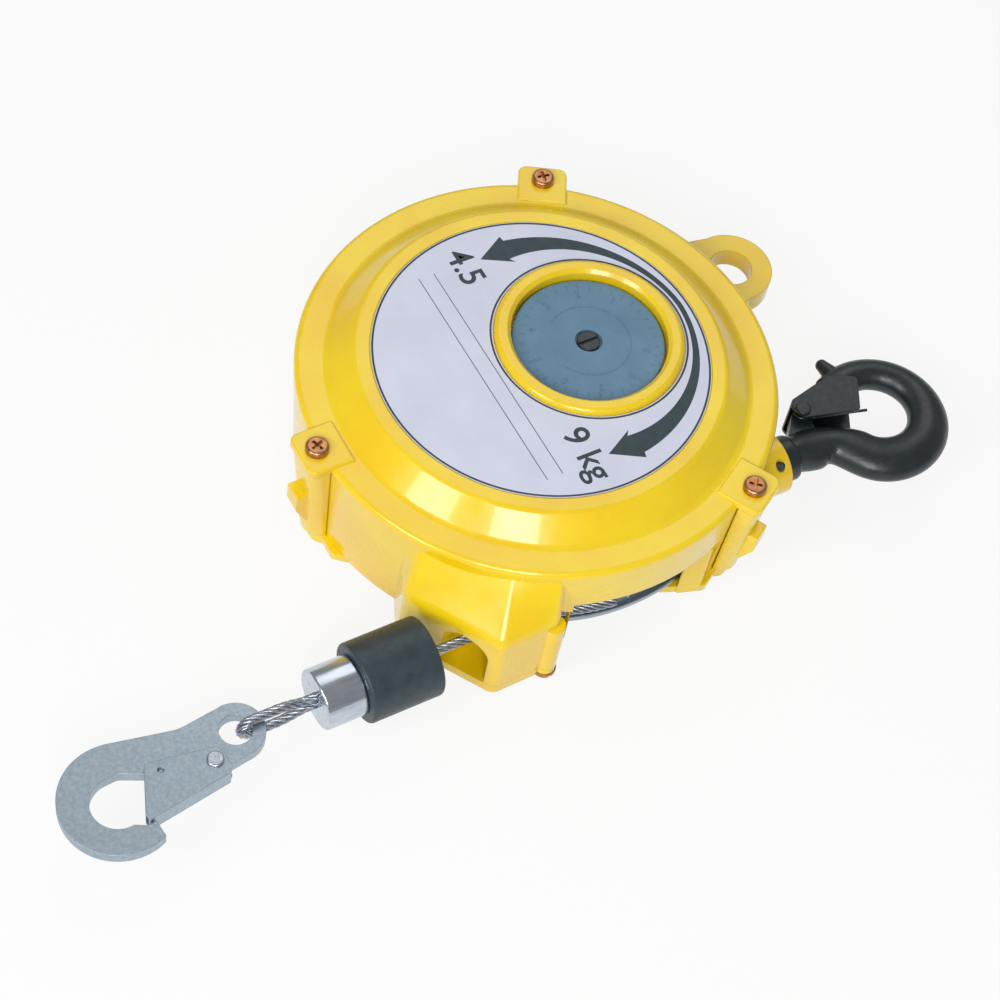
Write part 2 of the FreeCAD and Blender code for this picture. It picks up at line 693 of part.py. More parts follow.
def bumper():
    body = turned([(wire_r + 0.1, bumper_y - bumper_len), (bumper_r, bumper_y - bumper_len, 1.2),
                   (bumper_r, bumper_y, 1.2), (wire_r + 0.1, bumper_y)])
    return along_y(body, wire_x, wire_z)


def loop_side(side):
    """Edges of one leg of the wire loop, from inside the sleeve to the bend round the eye."""
    start = sleeve_y - sleeve_len + swage
    mid = sleeve_y - sleeve_len - 3.0
    reach = 12.0
    rise = leg_out - leg_gap
    turn = 2 * math.atan2(rise, reach)
    r = reach / 2 / math.sin(turn)
    bend_y = eye_y + 6.7
    lift = r * (1 - math.cos(turn / 2))
    run = r * math.sin(turn / 2)
    a = (start, leg_gap)
    b = (mid, leg_gap)
    c = (mid - reach / 2, leg_gap + rise / 2)
    d = (mid - reach, leg_out)
    e = (bend_y, leg_out)

    def spot(p):
        return V(wire_x, p[0], wire_z + side * p[1])
    return [Part.LineSegment(spot(a), spot(b)).toShape(),
            Part.Arc(spot(b), spot((mid - run, leg_gap + lift)), spot(c)).toShape(),
            Part.Arc(spot(c), spot((mid - reach + run, leg_out - lift)), spot(d)).toShape(),
            Part.LineSegment(spot(d), spot(e)).toShape()], spot(e), spot((bend_y - leg_out, 0))


def wire_loop():
    upper, upper_end, bottom = loop_side(1)
    lower, lower_end, _ = loop_side(-1)
    bend = Part.Arc(upper_end, bottom, lower_end).toShape()
    path = Part.Wire(Part.sortEdges(upper + [bend] + lower)[0])
    start = V(wire_x, sleeve_y - sleeve_len + swage, wire_z + leg_gap)
    section = Part.Wire([Part.Circle(start, V(0, 1, 0), wire_r).toShape()])
    return path.makePipeShell([section], True, True)


def wire_sleeve():
    body = turned([(0, sleeve_y - sleeve_len), (sleeve_r, sleeve_y - sleeve_len, 0.8),
                   (sleeve_r, sleeve_y, 0.8), (0, sleeve_y)])
    body = along_y(body, wire_x, wire_z)
    upper = along_y(rod(wire_r + 0.02, sleeve_y - swage, sleeve_y + 1), wire_x, wire_z)
    legs = along_y(rod(wire_r + 0.02, sleeve_y - sleeve_len - 1, sleeve_y - sleeve_len + swage),
                   wire_x, wire_z + leg_gap)
    legs = legs.fuse(along_y(rod(wire_r + 0.02, sleeve_y - sleeve_len - 1, sleeve_y - sleeve_len + swage),
                             wire_x, wire_z - leg_gap))
    return body.cut([upper, legs])


def hung(shape):
    """Place a piece of the load hook, drawn about its eye with the load line along -Y."""
    shape.rotate(V(0, 0, 0), UP, hook_tilt)
    shape.translate(V(wire_x, eye_y, wire_z))
    return shape


latch_pivot = (6.7, -13.2)


def load_hook():
    half = plate_t / 2
    neck_y = latch_pivot[1] - latch_web_room
    bowl = (0.2, -49.1)
    body = rod(eye_r, -half, half).fuse([
        rod(bowl_r, -half, half, bowl),
        slab([(-10.9, 1.0), (-11.4, -17.0, 14.0), (-20.9, -42.5), (0, -48), (11, -36), (10.9, 1.0)],
             -half, half)])
    hole = (1.5, -50.2)
    mouth_cut = slab([(10.2, neck_y, 3.0), (-8.3, -44.5, 6.0), (hole[0] - bowl_hole_r, hole[1]), hole,
                      (hole[0] + bowl_hole_r, hole[1]), (14.5, -46.5), (14.5, -43.0), (30, -43.8),
                      (30, neck_y)], -9, 9)
    body = body.cut([rod(bowl_hole_r, -9, 9, hole), mouth_cut, rod(eye_hole_r, -9, 9),
                     rod(rivet_r + journal_fit, -9, 9, latch_pivot)])
    body = body.removeSplitter()
    return hung(body)


def load_latch():
    inside = plate_t / 2 + latch_gap
    web_x = 12.8
    plan = [(2.6, -9.4, 2.5), (web_x, -9.4, 1.0), (web_x, -45.0), (11.0, -45.0, 1.0), (-5.8, -35.0, 1.5)]
    cheeks = [slab(plan, inside, inside + latch_t), slab(plan, -inside - latch_t, -inside)]
    outer = inside + latch_t
    web = slab([(web_x - 0.01, -11.0), (web_x + latch_t, -11.0, 0.4), (web_x + latch_t, -45.0, 0.4),
                (web_x - 0.01, -45.0)], -outer, outer)
    body = cheeks[0].fuse([cheeks[1], web])
    body = body.cut([rod(rivet_r + journal_fit, -9, 9, latch_pivot), rod(1.2, 0, 9, (-0.5, -31.5))])
    return hung(body.removeSplitter())


def load_latch_rivet():
    outer = plate_t / 2 + latch_gap + latch_t + 0.05
    shank = rod(rivet_r, -outer, outer, latch_pivot)
    upper = turned([(0, outer), (rivet_head_r, outer), (rivet_head_r, outer + rivet_head_t, 0.7),
                    (0, outer + rivet_head_t)], latch_pivot)
    lower = turned([(0, -outer - rivet_head_t), (rivet_head_r, -outer - rivet_head_t, 0.7),
                    (rivet_head_r, -outer), (0, -outer)], latch_pivot)
    return hung(shank.fuse([upper, lower]))


def load_latch_spring():
    leaf = slab([(12.6, -14.0), (12.6, -30.0), (12.0, -30.6, 0.4), (8.4, -22.4), (8.7, -22.2),
                 (12.1, -28.0, 0.3), (12.1, -14.0)], -1.8, 1.8)
    return hung(leaf)


# ---- Suspension hook ---------------------------------------------------------------------

hole_at = (-3.7, 1.2)
outer_at = (-0.8, -0.2)


def hook_section(x, y, heading, half_width, half_depth):
    """Rounded section across the hook, at a point of its middle line."""
    a = math.radians(heading)
    across = V(math.sin(a), -math.cos(a), 0)
    circle = Part.Ellipse(V(0, 0, 0), max(half_width, half_depth), min(half_width, half_depth)).toShape()
    wire = Part.Wire([circle])
    if half_width >= half_depth:
        major, minor = across, UP
    else:
        major, minor = UP, across
    normal = major.cross(minor)
    wire.Placement = FreeCAD.Placement(V(x, y, 0), FreeCAD.Rotation(major, minor, normal, "XYZ"))
    return wire


def hook_body():
    """Loft through sections up the shank and round the bowl to the tip."""
    sections = [hook_section(0, -47.0, 90, 7.6, 7.59), hook_section(0, -40.0, 90, 7.8, 7.79),
                hook_section(1.2, -30.0, 76, 8.6, 7.1)]
    wx, wy = hole_at[0] - outer_at[0], hole_at[1] - outer_at[1]
    for angle, depth in ((-62, 7.1), (-35, 7.0), (0, 6.8), (40, 6.6), (80, 6.4), (120, 6.2),
                         (160, 6.0), (190, 5.6), (212, 5.0)):
        dx, dy = polar(1.0, angle)
        dot = wx * dx + wy * dy
        outer = -dot + math.sqrt(dot * dot - wx * wx - wy * wy + top_outer_r ** 2)
        middle = (top_hole_r + outer) / 2
        sections.append(hook_section(hole_at[0] + dx * middle, hole_at[1] + dy * middle, angle + 90,
                                     (outer - top_hole_r) / 2, depth))
    return Part.makeLoft(sections, True, False)


def placed_top(shape):
    shape.translate(V(top_x, top_y, wire_z))
    return shape


def top_hook():
    body = hook_body()
    tip_cut = slab([(-26.5, -13.0), (-18.0, -0.3), (-10, 2), (-4, -12), (-14, -24), (-34, -24)], -20, 20)
    body = body.cut(tip_cut)
    nose = Part.makeCone(4.4, 2.6, 9.0, V(-24.5, -4.6, 0), V(-1.0, -0.22, 0))
    nose = nose.fuse(Part.makeSphere(2.6, V(-24.5, -4.6, 0) + V(-1.0, -0.22, 0).normalize() * 9.0))
    shank_top = boss_end_y + 1.0 - top_y
    collar = along_y(turned([(0, shank_top), (9.4, shank_top, 1.0), (9.4, -43.0, 2.0), (0, -43.0)]), 0, 0)
    shank = along_y(turned([(0, shank_end_y - top_y), (shank_r, shank_end_y - top_y, 0.8),
                            (shank_r, shank_top), (0, shank_top)]), 0, 0)
    groove_w = pin_r + 0.15
    groove = along_y(ring(pin_off - pin_r - 0.2, shank_r + 1, groove_y - top_y - groove_w,
                          groove_y - top_y + groove_w), 0, 0)
    boss = rod(3.7, -top_boss, top_boss, top_pivot)
    arm = slab([(-15.5, -33.5, 1.5), (-3, -44), (0, -30), (-11, -27.6, 1.5)], -top_boss, top_boss)
    body = body.fuse([nose, collar, shank.cut(groove), boss, arm])
    body = body.cut(rod(top_pivot_r + journal_fit, -20, 20, top_pivot))
    return placed_top(body)


def top_latch():
    plan = [(-18.3, -34.8, 3.0), (-23.2, -12.0, 2.0), (-18.0, -1.4, 2.0), (-3.4, -9.4, 1.5),
            (-9.4, -33.0, 3.0)]
    outer = top_cheek + top_latch_t
    block = slab(plan, -outer, outer)
    inner = [(-15.3, -40), (-21.4, -12.2), (-17.3, -3.4), (-14.2, -5.2), (-13.2, 2), (8, 2), (8, -13),
             (-2, -40)]
    body = block.cut(slab(inner, -top_cheek, top_cheek))
    body = body.cut(rod(top_pivot_r + journal_fit, -20, 20, top_pivot))
    return placed_top(body)


def top_latch_pin():
    outer = top_cheek + top_latch_t + 0.05
    shank = rod(top_pivot_r, -outer - 0.4, outer + 0.4, top_pivot)
    heads = [turned([(0, outer), (3.2, outer), (3.2, outer + 1.1, 0.8), (0, outer + 1.1)], top_pivot),
             turned([(0, -outer - 1.1), (3.2, -outer - 1.1, 0.8), (3.2, -outer), (0, -outer)], top_pivot)]
    return placed_top(shank.fuse(heads))


def top_latch_spring():
    """Torsion spring round the latch pin, with one leg reaching up the throat."""
    r = top_pivot_r + 0.15 + top_spring_r
    pitch = 2 * top_spring_r + 0.05
    path = Part.makeHelix(pitch, 1.0 * pitch, r)
    section = Part.Wire([Part.Circle(V(r, 0, 0), V(0, 1, 0), top_spring_r).toShape()])
    coil = Part.Wire(path.Edges).makePipeShell([section], True, True)
    leg = Part.makeCylinder(top_spring_r, 27.0, V(r, 0, pitch), V(0, 1, 0))
    spring = coil.fuse(leg)
    spring.rotate(V(0, 0, 0), UP, -15)
    spring.translate(V(top_pivot[0], top_pivot[1], top_boss + top_spring_r + 0.2))
    return placed_top(spring)


def hook_pins():
    pins = []
    length = math.sqrt(boss_r ** 2 - pin_off ** 2) - 0.4
    for side in (-1, 1):
        pins.append(rod(pin_r, wire_z - length, wire_z + length, (top_x + side * pin_off, groove_y)))
    return Part.makeCompound(pins)


NODES = {
    "front_casing": front_casing,
    "rear_cover": rear_cover,
    "casing_screws": casing_screws,
    "outlet_screw": outlet_screw,
    "label_plate": label_plate,
    "rear_shaft_bush": lambda: ring(shaft_rear_r + journal_fit, shaft_rear_r + bush_wall, 1.2, rear_boss_top),
    "front_shaft_bush": lambda: ring(shaft_front_r + journal_fit, shaft_front_r + bush_wall, boss_z,
                                     dial_floor - 1.2),
    "brake_sleeve": lambda: ring(sleeve_in, sleeve_out, boss_z, dial_floor, (0, dial_offset)),
    "hook_pins": hook_pins,
    "main_shaft": main_shaft,
    "shaft_gear": shaft_gear,
    "gear_key": gear_key,
    "shaft_clip": shaft_clip,
    "main_spring": main_spring,
    "adjuster_spindle": adjuster_spindle,
    "tension_dial": tension_dial,
    "dial_screw": dial_screw,
    "brake_spring": brake_spring,
    "wire_drum": drum_with_screw_holes,
    "drum_cover": drum_cover,
    "drum_cover_screws": drum_cover_screws,
    "drum_front_bush": lambda: ring(shaft_mid_r + journal_fit, shaft_mid_r + bush_wall, case_top,
                                    drum_hub_top),
    "drum_rear_bush": lambda: ring(shaft_mid_r + journal_fit, shaft_mid_r + bush_wall, drum_rear_z + 0.3,
                                   lid_top + lid_hub_rise - 0.3),
    "wire_on_drum": wire_on_drum,
    "wire_rope": straight_wire,
    "bumper": bumper,
    "wire_sleeve": wire_sleeve,
    "wire_loop": wire_loop,
    "load_hook": load_hook,
    "load_latch": load_latch,
    "load_latch_rivet": load_latch_rivet,
    "load_latch_spring": load_latch_spring,
    "top_hook": top_hook,
    "top_latch": top_latch,
    "top_latch_pin": top_latch_pin,
    "top_latch_spring": top_latch_spring,
}

os.makedirs("parts", exist_ok=True)
for name, make in NODES.items():
    shape = make()
    print(name, len(shape.Solids), round(shape.Volume, 1), "valid" if shape.isValid() else "INVALID")
    shape.exportStep("parts/" + name + ".step")
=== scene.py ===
import math
import bpy
from mathutils import Matrix, Vector


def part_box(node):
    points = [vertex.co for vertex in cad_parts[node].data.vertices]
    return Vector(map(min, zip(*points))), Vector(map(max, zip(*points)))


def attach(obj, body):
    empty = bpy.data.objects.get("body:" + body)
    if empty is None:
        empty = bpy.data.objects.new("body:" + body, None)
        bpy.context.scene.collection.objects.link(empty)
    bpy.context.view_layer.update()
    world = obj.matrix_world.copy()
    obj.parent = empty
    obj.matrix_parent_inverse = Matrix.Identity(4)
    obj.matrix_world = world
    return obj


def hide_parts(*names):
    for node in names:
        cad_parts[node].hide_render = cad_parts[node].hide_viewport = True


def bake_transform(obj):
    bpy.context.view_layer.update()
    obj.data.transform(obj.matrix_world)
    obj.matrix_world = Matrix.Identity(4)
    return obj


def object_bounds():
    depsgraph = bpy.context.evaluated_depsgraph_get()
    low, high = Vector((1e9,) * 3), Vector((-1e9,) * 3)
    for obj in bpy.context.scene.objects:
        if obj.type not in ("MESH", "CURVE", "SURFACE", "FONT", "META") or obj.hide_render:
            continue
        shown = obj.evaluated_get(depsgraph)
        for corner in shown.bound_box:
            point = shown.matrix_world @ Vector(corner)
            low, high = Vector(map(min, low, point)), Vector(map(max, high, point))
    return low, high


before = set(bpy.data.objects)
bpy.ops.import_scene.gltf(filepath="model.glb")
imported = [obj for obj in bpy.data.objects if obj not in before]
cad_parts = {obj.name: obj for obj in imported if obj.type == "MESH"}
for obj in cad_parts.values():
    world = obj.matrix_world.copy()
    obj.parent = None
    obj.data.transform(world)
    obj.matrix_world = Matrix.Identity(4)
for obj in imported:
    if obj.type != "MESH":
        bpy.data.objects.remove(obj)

# Spring tool balancer. Metres, +Z out of the dial face, +Y to the suspension hook.
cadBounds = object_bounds()
mm = 0.001
scene = bpy.context.scene


def sized(values, *names):
    return [values[name] * mm for name in names]


def linear(hexColour, alpha=1.0):
    parts = [int(hexColour[i:i + 2], 16) / 255 for i in (0, 2, 4)]
    return [c / 12.92 if c <= 0.04045 else ((c + 0.055) / 1.055) ** 2.4 for c in parts] + [alpha]


def addNode(tree, kind, settings=None, links=None):
    node = tree.nodes.new(kind)
    for name, value in (settings or {}).items():
        if isinstance(name, str) and hasattr(node, name):
            setattr(node, name, value)
        else:
            node.inputs[name].default_value = value
    for name, source in (links or {}).items():
        tree.links.new(source, node.inputs[name])
    return node


def boxCentre(node):
    low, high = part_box(node)
    return (Vector(low) + Vector(high)) / 2


# Axes that everything is built about, read from the frame
plateLow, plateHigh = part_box("label_plate")
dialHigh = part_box("tension_dial")[1]
wireLow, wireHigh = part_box("wire_rope")
sleeveLow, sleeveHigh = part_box("wire_sleeve")
labelTop = plateHigh[2]
dialTop = dialHigh[2]
dialAxis = boxCentre("tension_dial")
plateRadius = (plateHigh[0] - plateLow[0]) / 2
wireCentre = boxCentre("wire_rope")
wireRadius = (wireHigh[0] - wireLow[0]) / 2


print("materials")


def startMaterial(name, roughness, metallic=0.0):
    material = bpy.data.materials.new(name)
    material.use_nodes = True
    tree = material.node_tree
    shader = tree.nodes["Principled BSDF"]
    shader.inputs["Roughness"].default_value = roughness
    shader.inputs["Metallic"].default_value = metallic
    place = addNode(tree, "ShaderNodeTexCoord").outputs["Object"]
    return material, tree, shader, place


# Value that drifts between low and high over patches of a size in mm
def mottle(tree, place, size, low, high, detail=3.0, stretch=(1, 1, 1)):
    mapped = addNode(tree, "ShaderNodeMapping", {"Scale": stretch}, {"Vector": place}).outputs[0]
    noise = addNode(tree, "ShaderNodeTexNoise", {"Scale": 1 / (size * mm), "Detail": detail},
                    {"Vector": mapped}).outputs[0]
    span = {"From Min": 0.3, "From Max": 0.7, "To Min": low, "To Max": high}
    return addNode(tree, "ShaderNodeMapRange", span, {"Value": noise}).outputs[0]


# Whole surface of a finish: a colour drifting between two, corners rounded by eye, and a fine
# grain of a depth in mm laid over them. Returns the rounded corner for any coat.
def finishSurface(tree, shader, drift, colours, grain=None, depth=0.0, corner=0.0):
    base = addNode(tree, "ShaderNodeMix", {"data_type": "RGBA", 6: linear(colours[0]), 7: linear(colours[1])},
                   {0: drift}).outputs[2]
    tree.links.new(base, shader.inputs["Base Color"])
    rounded = None
    if corner:
        rounded = addNode(tree, "ShaderNodeBevel", {"samples": 6, "Radius": corner * mm}).outputs[0]
    if grain is not None:
        under = {"Height": grain, "Normal": rounded} if corner else {"Height": grain}
        bump = addNode(tree, "ShaderNodeBump", {"Distance": depth * mm, "Strength": 1.0}, under).outputs[0]
        tree.links.new(bump, shader.inputs["Normal"])
    return rounded


enamelLook = {"body": "f4d614", "deep": "eec40c", "peel": 1.6, "patch": 34.0, "corner": 0.7,
              "roughness": (0.20, 0.30), "peelDepth": 0.012}


def bakedEnamel():
    # Yellow stoved enamel on die-cast aluminium: a wet gloss with a faint orange peel,
    # and soft edges where the paint has pulled back from the corners.
    look = enamelLook
    material, tree, shader, place = startMaterial("yellowStovedEnamel", 0.25)
    drift = mottle(tree, place, look["patch"], 0, 1)
    tree.links.new(mottle(tree, place, 9.0, *look["roughness"]), shader.inputs["Roughness"])
    shader.inputs["Coat Weight"].default_value = 0.5
    shader.inputs["Coat Roughness"].default_value = 0.06
    corner = finishSurface(tree, shader, drift, (look["body"], look["deep"]),
                           mottle(tree, place, look["peel"], 0, 1, 1.0), look["peelDepth"], look["corner"])
    tree.links.new(corner, shader.inputs["Coat Normal"])
    return material


def blackenedForging():
    # Hot-forged hook, blackened and oiled: dark green-black scale with a dull sheen.
    material, tree, shader, place = startMaterial("blackenedForging", 0.4)
    drift = mottle(tree, place, 7.0, 0, 1, 4.0)
    tree.links.new(mottle(tree, place, 2.5, 0.30, 0.46), shader.inputs["Roughness"])
    shader.inputs["Coat Weight"].default_value = 0.25
    shader.inputs["Coat Roughness"].default_value = 0.25
    finishSurface(tree, shader, drift, ("10191c", "18262a"),
                  mottle(tree, place, 1.8, 0, 1, 4.0), 0.05, 0.6)
    return material


def barrelZinc(name, pale, deep, patch, roughness, grain=(1, 1, 1), depth=0.02, edge=0.35):
    # Barrel-plated zinc: cold blue-grey metal, mottled where the pieces knocked together.
    material, tree, shader, place = startMaterial(name, 0.4, 1.0)
    drift = mottle(tree, place, patch, 0, 1, 5.0, grain)
    tree.links.new(mottle(tree, place, patch * 0.6, *roughness, 3.0, grain), shader.inputs["Roughness"])
    finishSurface(tree, shader, drift, (pale, deep),
                  mottle(tree, place, patch * 0.5, 0, 1, 4.0, grain), depth, edge)
    return material


def bichromateZinc():
    # Yellow-chromated zinc on the casing screws: copper-gold with pink and green drifts.
    material, tree, shader, place = startMaterial("bichromateZinc", 0.3, 1.0)
    drift = mottle(tree, place, 2.2, 0, 1, 2.0)
    finishSurface(tree, shader, drift, ("c8935f", "a2725a"),
                  mottle(tree, place, 0.7, 0, 1), 0.02, 0.25)
    return material


def printedFilm():
    # Satin label film: pale lavender, faintly pebbled, flat enough to show soft light.
    material, tree, shader, place = startMaterial("printedFilm", 0.38)
    drift = mottle(tree, place, 22.0, 0, 1)
    tree.links.new(mottle(tree, place, 4.0, 0.34, 0.44), shader.inputs["Roughness"])
    finishSurface(tree, shader, drift, ("d3d7e8", "cbcfe2"),
                  mottle(tree, place, 0.8, 0, 1), 0.004)
    return material


def screenInk(name, first, second):
    # Screen-printed ink: matt, slightly uneven where it was laid thin.
    material, tree, shader, place = startMaterial(name, 0.5)
    drift = mottle(tree, place, 3.0, 0, 1, 4.0)
    finishSurface(tree, shader, drift, (first, second),
                  mottle(tree, place, 0.6, 0, 1), 0.004)
    return material


def mouldedNylon():
    # Moulded nylon dial: blue-grey, fine spark-eroded grain and flow marks.
    material, tree, shader, place = startMaterial("mouldedNylon", 0.46)
    drift = mottle(tree, place, 11.0, 0, 1, 4.0)
    tree.links.new(mottle(tree, place, 1.2, 0.40, 0.54), shader.inputs["Roughness"])
    finishSurface(tree, shader, drift, ("6288a2", "587c97"),
                  mottle(tree, place, 0.5, 0, 1), 0.015, 0.3)
    return material


def nitrileRubber():
    # Moulded nitrile bumper: blue-black, dusty bloom, a soft sheen along the top.
    material, tree, shader, place = startMaterial("nitrileRubber", 0.42)
    drift = mottle(tree, place, 6.0, 0, 1, 5.0)
    tree.links.new(mottle(tree, place, 1.6, 0.34, 0.52, 4.0), shader.inputs["Roughness"])
    finishSurface(tree, shader, drift, ("26343a", "303f46"),
                  mottle(tree, place, 0.9, 0, 1, 4.0), 0.03, 0.8)
    return material


def drawnWire():
    # Galvanised wire drawn hard: bright along the crowns, oily grey between the strands.
    material, tree, shader, place = startMaterial("galvanisedWire", 0.32, 1.0)
    drift = mottle(tree, place, 1.5, 0, 1, 4.0)
    tree.links.new(mottle(tree, place, 0.8, 0.26, 0.42), shader.inputs["Roughness"])
    finishSurface(tree, shader, drift, ("b9bec6", "8f959e"))
    return material


def turnedMetal(name, pale, deep, pitch, roughness):
    # Turned or ground metal: fine tool rings about Z give a silky, banded shine.
    material, tree, shader, place = startMaterial(name, 0.35, 1.0)
    split = addNode(tree, "ShaderNodeSeparateXYZ", None, {0: place})
    across = addNode(tree, "ShaderNodeCombineXYZ", None,
                     {0: split.outputs[0], 1: split.outputs[1]}).outputs[0]
    radius = addNode(tree, "ShaderNodeVectorMath", {"operation": "LENGTH"}, {0: across}).outputs[1]
    along = addNode(tree, "ShaderNodeMath", {"operation": "ADD"}, {0: radius, 1: split.outputs[2]}).outputs[0]
    grain = {"noise_dimensions": "1D", "Scale": 1 / (pitch * mm), "Detail": 2.0}
    rings = addNode(tree, "ShaderNodeTexNoise", grain, {"W": along}).outputs[0]
    shade = addNode(tree, "ShaderNodeMapRange", {"To Min": roughness[0], "To Max": roughness[1]},
                    {"Value": rings})
    tree.links.new(shade.outputs[0], shader.inputs["Roughness"])
    finishSurface(tree, shader, mottle(tree, place, 12.0, 0, 1), (pale, deep),
                  rings, 0.02, 0.25)
    return material


finishes = {
    "enamel": bakedEnamel(),
    "forging": blackenedForging(),
    "hookZinc": barrelZinc("barrelZinc", "b2bfc9", "9dacb8", 1.5, (0.36, 0.48), depth=0.012),
    "sleeveZinc": barrelZinc("brightZinc", "cfd6de", "b2bcc8", 1.4, (0.16, 0.26), (1, 0.15, 1), 0.006),
    "screwZinc": barrelZinc("screwZinc", "c5cbd2", "a5adb6", 1.2, (0.25, 0.4)),
    "bichromate": bichromateZinc(),
    "film": printedFilm(),
    "ink": screenInk("slateInk", "2f4249", "28393f"),
    "fineInk": screenInk("greyInk", "626876", "6e7482"),
    "nylon": mouldedNylon(),
    "rubber": nitrileRubber(),
    "wire": drawnWire(),
    "alloy": turnedMetal("turnedAlloy", "b3bcc6", "98a3af", 0.5, (0.3, 0.46)),
    "steel": turnedMetal("groundSteel", "aab0b7", "8e959d", 0.3, (0.24, 0.38)),
    "spring": turnedMetal("bluedSpringSteel", "59616e", "434b5a", 0.4, (0.28, 0.4)),
    "bronze": turnedMetal("sinteredBronze", "b98d4f", "a67a40", 0.4, (0.34, 0.5)),
}

finishOf = {
    "enamel": ("front_casing", "rear_cover"),
    "bichromate": ("casing_screws", "outlet_screw"),
    "film": ("label_plate",),
    "bronze": ("rear_shaft_bush", "front_shaft_bush", "drum_front_bush", "drum_rear_bush"),
    "steel": ("brake_sleeve", "main_shaft", "shaft_gear", "gear_key", "adjuster_spindle"),
    "spring": ("shaft_clip", "main_spring", "brake_spring", "load_latch_spring", "top_latch_spring"),
    "nylon": ("tension_dial",),
    "forging": ("dial_screw", "top_hook", "top_latch", "top_latch_pin", "hook_pins"),
    "alloy": ("wire_drum", "drum_cover"),
    "screwZinc": ("drum_cover_screws", "load_latch_rivet"),
    "rubber": ("bumper",),
    "sleeveZinc": ("wire_sleeve",),
    "hookZinc": ("load_hook", "load_latch"),
    "wire": ("wire_on_drum", "wire_rope", "wire_loop"),
}
for finish, nodes in finishOf.items():
    for node in nodes:
        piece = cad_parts[node]
        if not piece.material_slots:
            piece.data.materials.append(finishes[finish])
        for slot in piece.material_slots:
            slot.material = finishes[finish]


def newTree(name, inputs):
    tree = bpy.data.node_groups.new(name, "GeometryNodeTree")
    tree.interface.new_socket("Geometry", in_out="INPUT", socket_type="NodeSocketGeometry")
    for label, (kind, value) in inputs.items():
        socket = tree.interface.new_socket(label, in_out="INPUT", socket_type="NodeSocket" + kind)
        socket.default_value = value
    tree.interface.new_socket("Geometry", in_out="OUTPUT", socket_type="NodeSocketGeometry")
    return tree, addNode(tree, "NodeGroupInput"), addNode(tree, "NodeGroupOutput")


def runTree(source, tree, values, name):
    modifier = source.modifiers.new("make", "NODES")
    modifier.node_group = tree
    for item in tree.interface.items_tree:
        if item.in_out == "INPUT" and item.name in values:
            modifier[item.identifier] = values[item.name]
    bpy.context.view_layer.update()
    evaluated = source.evaluated_get(bpy.context.evaluated_depsgraph_get())
    mesh = bpy.data.meshes.new_from_object(evaluated)
    piece = bpy.data.objects.new(name, mesh)
    scene.collection.objects.link(piece)
    bpy.data.objects.remove(source)
    return piece


def curveObject(name, points):
    curve = bpy.data.curves.new(name, "CURVE")
    curve.dimensions = "3D"
    spline = curve.splines.new("POLY")
    spline.points.add(len(points) - 1)
    for spot, point in zip(spline.points, points):
        spot.co = (*point, 1)
    holder = bpy.data.objects.new(name, curve)
    scene.collection.objects.link(holder)
    return holder


def meshPiece(name, verts, faces, finish):
    mesh = bpy.data.meshes.new(name)
    mesh.from_pydata([tuple(v) for v in verts], [], faces)
    mesh.validate()
    mesh.update()
    mesh.materials.append(finishes[finish])
    piece = bpy.data.objects.new(name, mesh)
    scene.collection.objects.link(piece)
    return piece


print("wire rope")
rope = {"strands": 6, "lay": 19.0, "strandRadius": 0.66, "strandOut": 1.30, "step": 1.2}


def ropeTree():
    tree, given, out = newTree("strandsOnCurve", {
        "Strands": ("Int", rope["strands"]), "Lay": ("Float", 0.019), "Strand Radius": ("Float", 0.0007),
        "Strand Out": ("Float", 0.0013), "Step": ("Float", 0.001)})
    even = addNode(tree, "GeometryNodeResampleCurve", {"mode": "LENGTH"},
                   {"Curve": given.outputs["Geometry"], "Length": given.outputs["Step"]})
    copies = addNode(tree, "GeometryNodeDuplicateElements", {"domain": "SPLINE"},
                     {"Geometry": even.outputs[0], "Amount": given.outputs["Strands"]})
    along = addNode(tree, "GeometryNodeSplineParameter").outputs["Length"]
    turns = addNode(tree, "ShaderNodeMath", {"operation": "DIVIDE"},
                    {0: along, 1: given.outputs["Lay"]}).outputs[0]
    share = addNode(tree, "ShaderNodeMath", {"operation": "DIVIDE"},
                    {0: copies.outputs["Duplicate Index"], 1: given.outputs["Strands"]}).outputs[0]
    whole = addNode(tree, "ShaderNodeMath", {"operation": "ADD"}, {0: turns, 1: share}).outputs[0]
    angle = addNode(tree, "ShaderNodeMath", {"operation": "MULTIPLY", 1: 2 * math.pi}, {0: whole}).outputs[0]
    outward = addNode(tree, "ShaderNodeVectorRotate", {"rotation_type": "AXIS_ANGLE"},
                      {"Vector": addNode(tree, "GeometryNodeInputNormal").outputs[0],
                       "Axis": addNode(tree, "GeometryNodeInputTangent").outputs[0],
                       "Angle": angle}).outputs[0]
    offset = addNode(tree, "ShaderNodeVectorMath", {"operation": "SCALE"},
                     {0: outward, "Scale": given.outputs["Strand Out"]}).outputs[0]
    moved = addNode(tree, "GeometryNodeSetPosition", None, {"Geometry": copies.outputs[0], "Offset": offset})
    both = addNode(tree, "GeometryNodeJoinGeometry")
    tree.links.new(moved.outputs[0], both.inputs[0])
    tree.links.new(even.outputs[0], both.inputs[0])
    circle = addNode(tree, "GeometryNodeCurvePrimitiveCircle", {"Resolution": 10},
                     {"Radius": given.outputs["Strand Radius"]})
    tube = addNode(tree, "GeometryNodeCurveToMesh", {"Fill Caps": True},
                   {"Curve": both.outputs[0], "Profile Curve": circle.outputs[0]})
    smooth = addNode(tree, "GeometryNodeSetShadeSmooth", None, {0: tube.outputs[0]})
    real = addNode(tree, "GeometryNodeRealizeInstances", None, {0: smooth.outputs[0]})
    done = addNode(tree, "GeometryNodeSetMaterial", {"Material": finishes["wire"]},
                   {"Geometry": real.outputs[0]})
    tree.links.new(done.outputs[0], out.inputs[0])
    return tree


strandsOnCurve = ropeTree()


